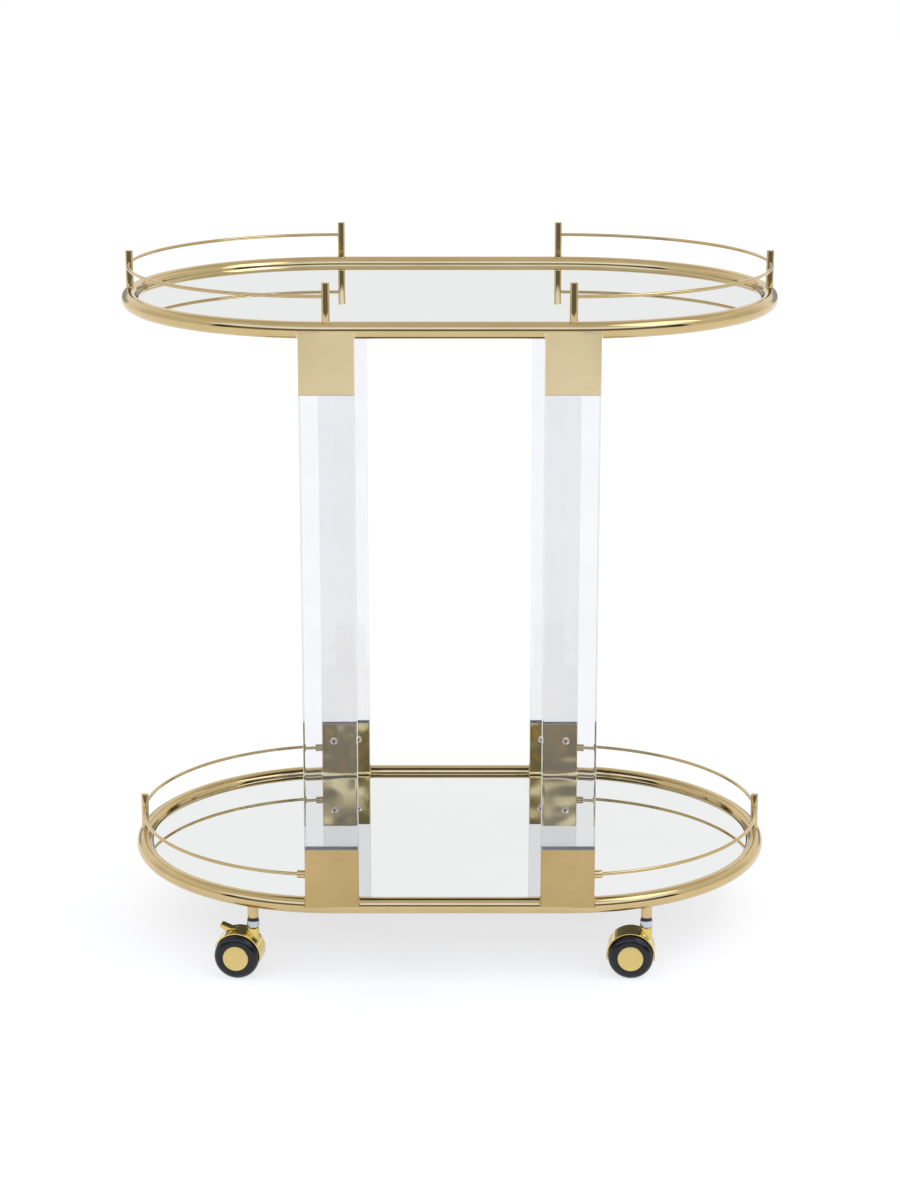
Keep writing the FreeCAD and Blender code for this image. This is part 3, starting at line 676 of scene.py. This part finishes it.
def screw():
    """A button-head screw with a hexagonal key, its head round the Z axis and its seat at 0. The key hole is
    painted dark as shade.
    """
    head, height, rim = 5.0 * MM, 2.4 * MM, 0.7 * MM
    key, depth, sunk, ease = 1.9 * MM, 1.5 * MM, 0.3 * MM, 0.3 * MM
    steps = 48
    # The key hole's walls and floor take the dark slot, which is painted shade in the recess.
    brass, dark = range(2)  # the material slots
    dome = [(head * math.cos(t), rim + (height - rim) * math.sin(t), 0) for t in (0.35, 0.7, 1.05)]
    corners = [(0, -sunk, 0), (head, -sunk, 0), (head, rim, ease), *dome, (key * 1.25, height, 0)]
    rows = [circle(r, z, steps) for r, z in rounded_profile(corners, steps=3)[1:]]
    for z in (height, height - depth):
        hexagon = []
        for turn in turns(steps):
            from_flat = (turn + math.pi / 6) % (math.pi / 3) - math.pi / 6
            r = key * math.cos(math.pi / 6) / math.cos(from_flat)
            hexagon.append((r * math.cos(turn), r * math.sin(turn), z))
        rows.append(hexagon)
    skin = Skin()
    loops = skin.stack(rows[:-1], brass, ends=False)
    bottom = skin.loop(rows[-1])
    skin.face(loops[0][::-1], brass)
    skin.bridge(loops[-1], bottom, dark)
    skin.face(bottom, dark)
    return skin


def screws():
    """Two screws through the inner face of every sleeve."""
    spread, inset = 15.5 * MM, 22.0 * MM
    one, skin = screw(), Skin()
    for level, way in LEVELS.items():
        z = RING_Z[level] + (SLEEVE_REACH - inset) * way
        for out in SIDES.values():
            turned = Matrix.Rotation(math.radians(90 * out), 4, "X")
            for end in ENDS.values():
                for across in (-1, 1):
                    place = Vector((STRAIGHT * end + spread * across, (BEND - LEG_HALF.y) * out, z))
                    skin.add(one, Matrix.Translation(place) @ turned)
    stand_in("sleeve_screws", skin.mesh("sleeve_screws", [SCREW_BRASS, BLACK_PLASTIC_AND_PAINTED_SHADE]))


def pads():
    """Clear pads on the ledges, under the mirrors."""
    radius, thick, inset, count = 5.0 * MM, 1.0 * MM, 6.0 * MM, 8
    bend = BEND - TUBE - inset
    pad, skin = Skin(), Skin()
    lathe(pad, [(0, 0, 0), (radius, 0, 0.2 * MM), (radius, thick, 0.3 * MM), (0, thick, 0)], steps=32)
    for level in LEVELS:
        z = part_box(f"{level}_mirror")[0].z - thick
        for i in range(count):
            turn = math.tau * (i + 0.5) / count
            x = math.copysign(STRAIGHT, math.cos(turn)) + bend * math.cos(turn)
            skin.add(pad, Matrix.Translation((x, bend * math.sin(turn), z)))
    stand_in("mirror_pads", skin.mesh("mirror_pads", [CLEAR_PAD]))


# Gallery


def rail(level, end):
    """A rod round one end of a shelf."""
    node = f"{level}_rail_{end}"
    low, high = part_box(node)
    way = ENDS[end]
    z = (low.z + high.z) / 2
    start = abs(low.x if way > 0 else high.x) - STRAIGHT
    cut_back = math.asin(max(start, 0) / BEND)
    steps = 128
    rows = []
    for i in range(steps + 1):
        turn = -math.pi / 2 + cut_back + (math.pi - 2 * cut_back) * i / steps
        out = Vector((math.cos(turn) * way, math.sin(turn), 0))
        centre = Vector((STRAIGHT * way, 0, z)) + out * BEND
        row = []
        for t in turns(20):
            row.append(centre + (out * math.cos(t) + Vector((0, 0, math.sin(t)))) * RAIL_RADIUS)
        rows.append(row)
    skin = Skin()
    skin.stack(rows)
    stand_in(node, skin.mesh(node, [GOLD]))


def rounded_rim(spots, top, ease):
    """Rows that round off the top of a wall."""
    rows = []
    for inset, z in ((0, top - ease), (ease * 0.3, top - ease * 0.3), (ease, top)):
        rows.append([(*(place - out * inset), z) for place, out in spots])
    return rows


def post(skin, level, x, y, top):
    """A round post welded to the top of the tube."""
    weld, ease = 1.0 * MM, 0.6 * MM
    spots = round_wall(Vector((x, y)), POST_RADIUS)
    rows = weld_rows(spots, RING_Z[level], 1, repeat(weld))
    skin.stack(rows + rounded_rim(spots, top, ease))


def posts():
    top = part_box("upper_rail_posts_left")[1].z
    low_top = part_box("lower_rail_post_left")[1].z
    for end, way in ENDS.items():
        skin = Skin()
        for x, y in ((STRAIGHT, -BEND), (STRAIGHT + BEND, 0), (STRAIGHT, BEND)):
            post(skin, "upper", x * way, y, top)
        node = f"upper_rail_posts_{end}"
        stand_in(node, skin.mesh(node, [GOLD]))
        skin = Skin()
        post(skin, "lower", (STRAIGHT + BEND) * way, 0, low_top)
        node = f"lower_rail_post_{end}"
        stand_in(node, skin.mesh(node, [GOLD]))


def ferrules():
    """Collars between the lower rods and the sleeves' sides, in line with the rod."""
    ease, sunk = 0.5 * MM, 0.05 * FERRULE_LENGTH
    corners = [
        (0, 0, 0),
        (FERRULE_RADIUS, 0, 0),
        (FERRULE_RADIUS, FERRULE_LENGTH, ease),
        (0, FERRULE_LENGTH, 0),
    ]
    one = Skin()
    lathe(one, corners, steps=48)
    tilt = math.asin((LEG_HALF.x + FERRULE_LENGTH / 2) / BEND)
    for end, way in ENDS.items():
        node = f"lower_rail_ferrules_{end}"
        z = middle(node).z
        skin = Skin()
        for out in SIDES.values():
            along = Vector((math.cos(tilt) * way, -math.sin(tilt) * out, 0))
            centre = Vector((STRAIGHT * way + BEND * math.sin(tilt) * way, BEND * math.cos(tilt) * out, z))
            turned = along.to_track_quat("Z", "Y").to_matrix().to_4x4()
            skin.add(one, Matrix.Translation(centre - along * (FERRULE_LENGTH / 2 + sunk)) @ turned)
        stand_in(node, skin.mesh(node, [GOLD]))


# Casters


def corner_matrix(side, end):
    """From a caster's own frame to its corner of the cart."""
    x, y, _ = JOINTS[f"swivel_{side}_{end}"]["pos_m"]
    axle = JOINTS[f"roll_{side}_{end}_outer"]["axis"]
    yaw = math.atan2(-axle[0], axle[1])
    return Matrix.Translation((x, y, 0)) @ Matrix.Rotation(yaw, 4, "Z")


def around_axle(radius, degrees):
    """The place (x, z) at a radius from the axle, with the degrees counted from the leading side."""
    turn = math.radians(degrees)
    return radius * math.cos(turn) - TRAIL, WHEEL + radius * math.sin(turn)


def from_axle(outline):
    """The places (x, z) of an outline given in millimetres from the axle."""
    return [(x * MM - TRAIL, z * MM + WHEEL) for x, z in outline]


def plate(skin, outline, start, end):
    """A plate of that outline of (x, z) places, from one Y to another."""
    skin.stack([[(x, y, z) for x, z in outline] for y in (start, end)])


HOOD_START = -10  # degrees round the axle from the leading side
HOOD_END = {False: 190, True: 158}  # plain, and shorter behind a brake
SLOT_START, SLOT_END = 97.4, 123  # the slot for the brake's tongue
SLOT_HALF = 2.0 * MM


def hood_shell(skin, slotted):
    """The drum's wall: an outer and an inner sheet, with a slot over the brake's lever if there is one."""
    angles = []
    stretches = ((HOOD_START, SLOT_START, 32), (SLOT_START, SLOT_END, 9), (SLOT_END, HOOD_END[slotted], 16))
    for start, end, count in stretches:
        angles += [start + (end - start) * i / count for i in range(count)]
    angles.append(HOOD_END[slotted])
    across = (-DRUM_HALF, -SLOT_HALF, SLOT_HALF, DRUM_HALF)
    sheets = []
    for radius in (DRUM, DRUM - DRUM_WALL):
        rows = []
        for angle in angles:
            x, z = around_axle(radius, angle)
            rows.append(skin.loop([(x, y, z) for y in across]))
        sheets.append(rows)
    last_i, last_j = len(angles) - 1, len(across) - 1

    def is_wall(i, j):
        slot = slotted and j == 1 and SLOT_START <= angles[i] < SLOT_END
        return 0 <= i < last_i and 0 <= j < last_j and not slot

    outer, inner = sheets
    for i in range(last_i):
        for j in range(last_j):
            if not is_wall(i, j):
                continue
            skin.face((outer[i][j], outer[i][j + 1], outer[i + 1][j + 1], outer[i + 1][j]))
            skin.face((inner[i][j + 1], inner[i][j], inner[i + 1][j], inner[i + 1][j + 1]))
            for (a, b), (c, d), beyond in (
                ((i, j), (i, j + 1), (i - 1, j)),
                ((i + 1, j + 1), (i + 1, j), (i + 1, j)),
                ((i + 1, j), (i, j), (i, j - 1)),
                ((i, j + 1), (i + 1, j + 1), (i, j + 1)),
            ):
                if not is_wall(*beyond):
                    skin.face((outer[c][d], outer[a][b], inner[a][b], inner[c][d]))


def hood_web(skin, slotted):
    """The plate between the wheels, with a boss for the axle and room for the brake's tongue."""
    rim, boss, end = DRUM - DRUM_WALL / 2, 9.0 * MM, HOOD_END[slotted]

    def arc(radius, start, finish):
        steps = 40
        return [around_axle(radius, start + (finish - start) * i / steps) for i in range(steps + 1)]

    lower = arc(boss, end, HOOD_START + 360)
    whole = arc(rim, HOOD_START, end) + lower
    if slotted:
        slot = from_axle(((-3.6, 25.2), (1.0, 24.4), (1.0, 14.0), (-9.0, 14.0)))
        core = arc(rim, HOOD_START, SLOT_START) + slot + arc(rim, SLOT_END, end) + lower
        plate(skin, whole, -WEB_HALF, -SLOT_HALF)
        plate(skin, core, -SLOT_HALF, SLOT_HALF)
        plate(skin, whole, SLOT_HALF, WEB_HALF)
    else:
        plate(skin, whole, -WEB_HALF, WEB_HALF)


def hood_neck(skin):
    """The turned neck that holds the stem, faired into the drum."""
    fairing, ease, steps = 3.0 * MM, 0.7 * MM, 5
    spots = round_wall(Vector((0, 0)), NECK_RADIUS, steps=64)
    rows = [[] for _ in range(steps + 1)]
    for place, out in spots:
        knee = WHEEL + math.sqrt(DRUM**2 - (place.x + TRAIL) ** 2)
        spot = place + out * fairing
        across = spot.x + TRAIL
        scale = DRUM / math.hypot(across, knee - WHEEL)
        foot = Vector((across * scale - TRAIL, spot.y, WHEEL + (knee - WHEEL) * scale))
        bend = Vector((*place, knee))
        wall = Vector((*place, min(knee + fairing, NECK_TOP - ease * 1.5)))
        for i, row in enumerate(rows):
            t = i / steps
            row.append(foot * (1 - t) ** 2 + bend * 2 * t * (1 - t) + wall * t**2)
    skin.stack(rows + rounded_rim(spots, NECK_TOP, ease))


def soften(made, width):
    """Rounds the piece's sharp edges."""
    bevel = made.modifiers.new("soften", "BEVEL")
    bevel.width = width
    bevel.segments = 3
    bevel.limit_method = "ANGLE"
    bevel.angle_limit = math.radians(38)
    bevel.harden_normals = True


def hood_mesh(slotted):
    skin = Skin()
    hood_shell(skin, slotted)
    hood_web(skin, slotted)
    hood_neck(skin)
    return skin.mesh("caster_hood", [CAST_GOLD])


def lever_mesh():
    """The brake's pedal: a thick bent tab with a rolled end, on a tongue between the wheels."""
    tongue = ((-6.8, 17.2), (-1.4, 17.2), (-5.6, 29.5), (-10.0, 30.0))
    tab = (
        (-2.5, 28.4),
        (-11.5, 27.6),
        (-16.0, 28.0),
        (-20.9, 31.0),
        (-21.3, 33.6),
        (-19.0, 35.0),
        (-8.3, 30.6),
        (-2.5, 30.4),
    )
    tongue_half, tab_half = 1.8 * MM, 6.0 * MM
    skin = Skin()
    plate(skin, from_axle(tongue), -tongue_half, tongue_half)
    plate(skin, from_axle(tab), -tab_half, tab_half)
    return skin.mesh("brake_lever", [CAST_GOLD])


def wheel_mesh():
    """A tread with a rounded shoulder and a seat for its cap, round Z with its outer face at the top."""
    back, face, seat = 4.5 * MM, 22.0 * MM, 20.8 * MM
    shoulder, bore, cap = 8.0 * MM, 3.6 * MM, 14.9 * MM
    corners = [
        (bore, seat, 0),
        (bore, back, 0.3 * MM),
        (WHEEL - 3.0 * MM, back, 1.0 * MM),
        (WHEEL, back + 2.5 * MM, 1.2 * MM),
        (WHEEL, face, shoulder),
        (cap, face, 0.5 * MM),
        (cap, seat, 0),
        (bore, seat, 0),
    ]
    skin = Skin()
    skin.stack([circle(r, z, 96) for r, z in rounded_profile(corners, steps=8)[:-1]], round_trip=True)
    return skin.mesh("wheel", [TREAD])


def cap_mesh():
    """A shallow turned cap with a rounded rim and a slightly domed face."""
    radius, seat, face = 14.8 * MM, 20.8 * MM, 22.8 * MM
    corners = [
        (0, seat, 0),
        (radius, seat, 0),
        (radius, face - 0.1 * MM, 0.9 * MM),
        (radius * 0.4, face, 0),
        (0, face, 0),
    ]
    skin = Skin()
    lathe(skin, corners, steps=96)
    return skin.mesh("wheel_cap", [CAP_GOLD])


def turned_on_stems(corners):
    """A skin with a turned profile on every caster's stem."""
    one, skin = Skin(), Skin()
    lathe(one, corners)
    for side in SIDES:
        for end in ENDS:
            skin.add(one, corner_matrix(side, end))
    return skin


def stems():
    """The stems' shafts, with bright collars just under the sockets."""
    shaft, collar, ease = 3.5 * MM, 7.3 * MM, 0.8 * MM
    low, high = 58.7 * MM, 66.5 * MM
    bottom = low - 6.0 * MM
    corners = [
        (0, bottom, 0),
        (shaft, bottom, 0),
        (shaft, low, 0),
        (collar, low, ease),
        (collar, high, ease),
        (0, high, 0),
    ]
    stand_in("caster_stems", turned_on_stems(corners).mesh("caster_stems", [STEEL]))


def inserts():
    """Black flanged plugs in the sockets."""
    radius, low, high = 6.3 * MM, 66.5 * MM, 70.0 * MM
    corners = [(0, low, 0), (radius, low, 0.5 * MM), (radius, high, 0), (0, high, 0)]
    stand_in("socket_inserts", turned_on_stems(corners).mesh("socket_inserts", [BLACK_PLASTIC_AND_PAINTED_SHADE]))


def sockets():
    """Short tubes welded under the ring."""
    radius, low = 6.35 * MM, 70.0 * MM
    weld, ease = 1.2 * MM, 0.4 * MM
    skin = Skin()
    for side in SIDES:
        for end in ENDS:
            spots = round_wall(corner_matrix(side, end).translation.xy, radius)
            rows = weld_rows(spots, RING_Z["lower"], -1, repeat(weld))
            rows.append([(*place, low + ease) for place, _ in spots])
            rows.append([(*(place - out * ease), low) for place, out in spots])
            skin.stack(rows)
    stand_in("caster_sockets", skin.mesh("caster_sockets", [GOLD]))


def casters():
    sockets()
    inserts()
    stems()
    hoods = {end: hood_mesh(end == BRAKED_END) for end in ENDS}
    lever, wheel, cap = lever_mesh(), wheel_mesh(), cap_mesh()
    for side, out in SIDES.items():
        for end in ENDS:
            corner = corner_matrix(side, end)
            soften(stand_in(f"caster_hood_{side}_{end}", hoods[end], corner), 0.45 * MM)
            if end == BRAKED_END:
                soften(stand_in(f"brake_lever_{side}_{end}", lever, corner), 0.9 * MM)
            for which, faces in (("outer", out), ("inner", -out)):
                turned = Matrix.Rotation(math.radians(-90 * faces), 4, "X")
                axle = corner @ Matrix.Translation((-TRAIL, 0, WHEEL)) @ turned
                stand_in(f"wheel_{side}_{end}_{which}", wheel, axle)
                stand_in(f"wheel_cap_{side}_{end}_{which}", cap, axle)
            node = frame["nodes"][f"caster_axle_{side}_{end}"]
            node.data.materials.clear()
            node.data.materials.append(STEEL)


# Studio


def studio_world():
    """A white studio. The camera sees plain white, and reflections see its darker and brighter parts."""
    scene = bpy.context.scene
    scene.world = bpy.data.worlds.new("studio")
    scene.world.use_nodes = True
    tree = scene.world.node_tree
    tree.nodes.clear()
    graph = Graph(tree)
    coords = graph.add("ShaderNodeTexCoord").outputs["Generated"]
    split = graph.add("ShaderNodeSeparateXYZ", {"Vector": coords}).outputs
    axes = {"out": graph.calculate("ABSOLUTE", split["X"]), "Y": split["Y"], "Z": split["Z"]}

    def band(axis, start, end):
        """A number that rises smoothly from 0 to 1 along Y, Z or the distance out from the middle."""
        inputs = {"Value": axes[axis], "From Min": start, "From Max": end}
        made = graph.add("ShaderNodeMapRange", inputs, interpolation_type="SMOOTHSTEP")
        return made.outputs["Result"]

    def product(first, *others):
        for other in others:
            first = graph.calculate("MULTIPLY", first, other)
        return first

    # behind the camera: a dark room, with a bright cool strip above it
    room = product(band("Y", -0.36, -0.46), band("Z", 0.42, 0.34))
    strip = product(band("Y", -0.2, -0.35), band("Z", 0.36, 0.44), band("Z", 0.8, 0.7))
    # overhead and at the sides: a little darker
    zenith = band("Z", 0.5, 0.75)
    sides = product(band("Y", -0.7, -0.4), band("Y", 0.75, 0.45), band("Z", 0.6, 0.4))
    # behind the cart: two dark flags and the low part of the wall
    flags = product(band("out", 0.16, 0.2), band("out", 0.6, 0.5), band("Y", 0.6, 0.7), band("Z", 0.22, 0.16))
    wall = product(band("Y", 0.85, 0.95), band("Z", 0.3, 0.2))
    level = 1.0
    for part, change in (
        (room, -0.8),
        (strip, 0.48),
        (zenith, -0.25),
        (sides, -0.2),
        (flags, -0.55),
        (wall, -0.08),
    ):
        level = graph.calculate("ADD", level, graph.calculate("MULTIPLY", part, change))
    white, cool = (1.0, 1.0, 1.0, 1.0), (0.87, 1.0, 1.38, 1.0)
    tint = graph.shades(strip, white, cool, between=(0.0, 1.0))
    seen = graph.add("ShaderNodeBackground", {"Color": white, "Strength": 1.0}).outputs[0]
    lit = graph.add("ShaderNodeBackground", {"Color": tint, "Strength": level}).outputs[0]
    camera_ray = graph.add("ShaderNodeLightPath").outputs["Is Camera Ray"]
    mixed = graph.add("ShaderNodeMixShader", {0: camera_ray, 1: lit, 2: seen}).outputs[0]
    graph.add("ShaderNodeOutputWorld", {"Surface": mixed})


def floor():
    """A pale floor that glows a little, so that it is as white as the background."""
    half = 14.0
    skin = Skin()
    skin.face(skin.loop([(-half, -half, 0), (half, -half, 0), (half, half, 0), (-half, half, 0)]))
    made, graph, shader = surface("floor", Roughness=0.8, Specular_IOR_Level=0.1, Emission_Strength=1.85)
    tone = graph.shades(graph.noise(3), paint(166, 166, 166), paint(169, 169, 169))
    graph.feed(shader.inputs["Base Color"], tone)
    graph.feed(shader.inputs["Emission Color"], tone)
    put("floor", skin.mesh("floor", [made]))


def lamp(name, place, aim, size, power):
    """A square soft box at a place, turned towards its aim."""
    data = bpy.data.lights.new(name, "AREA")
    data.size = size
    data.energy = power
    made = bpy.data.objects.new(name, data)
    bpy.context.scene.collection.objects.link(made)
    made.location = place
    made.rotation_euler = (Vector(aim) - Vector(place)).to_track_quat("-Z", "Y").to_euler()


def camera():
    """The photograph's camera: in front of the cart, above it and tilted down."""
    tilt = 0.2661
    data = bpy.data.cameras.new("camera")
    data.sensor_width = 36.0
    data.lens = 86.85
    data.clip_start, data.clip_end = 0.1, 100
    made = bpy.data.objects.new("camera", data)
    bpy.context.scene.collection.objects.link(made)
    made.location = (0.0003, -3.332, 1.296)
    made.rotation_euler = (math.pi / 2 - tilt, 0, 0)
    bpy.context.scene.camera = made


def studio():
    studio_world()
    floor()
    lamp("key", place=(1.7, -0.8, 2.8), aim=(0, 0, 0.4), size=1.5, power=13)
    camera()
    view = bpy.context.scene.view_settings
    view.view_transform = "Standard"
    view.look = "None"


for shelf in LEVELS:
    ring_tube(shelf)
    mirror(shelf)
    ledge(shelf)
    for leg_side in SIDES:
        for leg_end in ENDS:
            sleeve(shelf, leg_side, leg_end)
    for rail_end in ENDS:
        rail(shelf, rail_end)
legs()
screws()
pads()
posts()
ferrules()
casters()
studio()
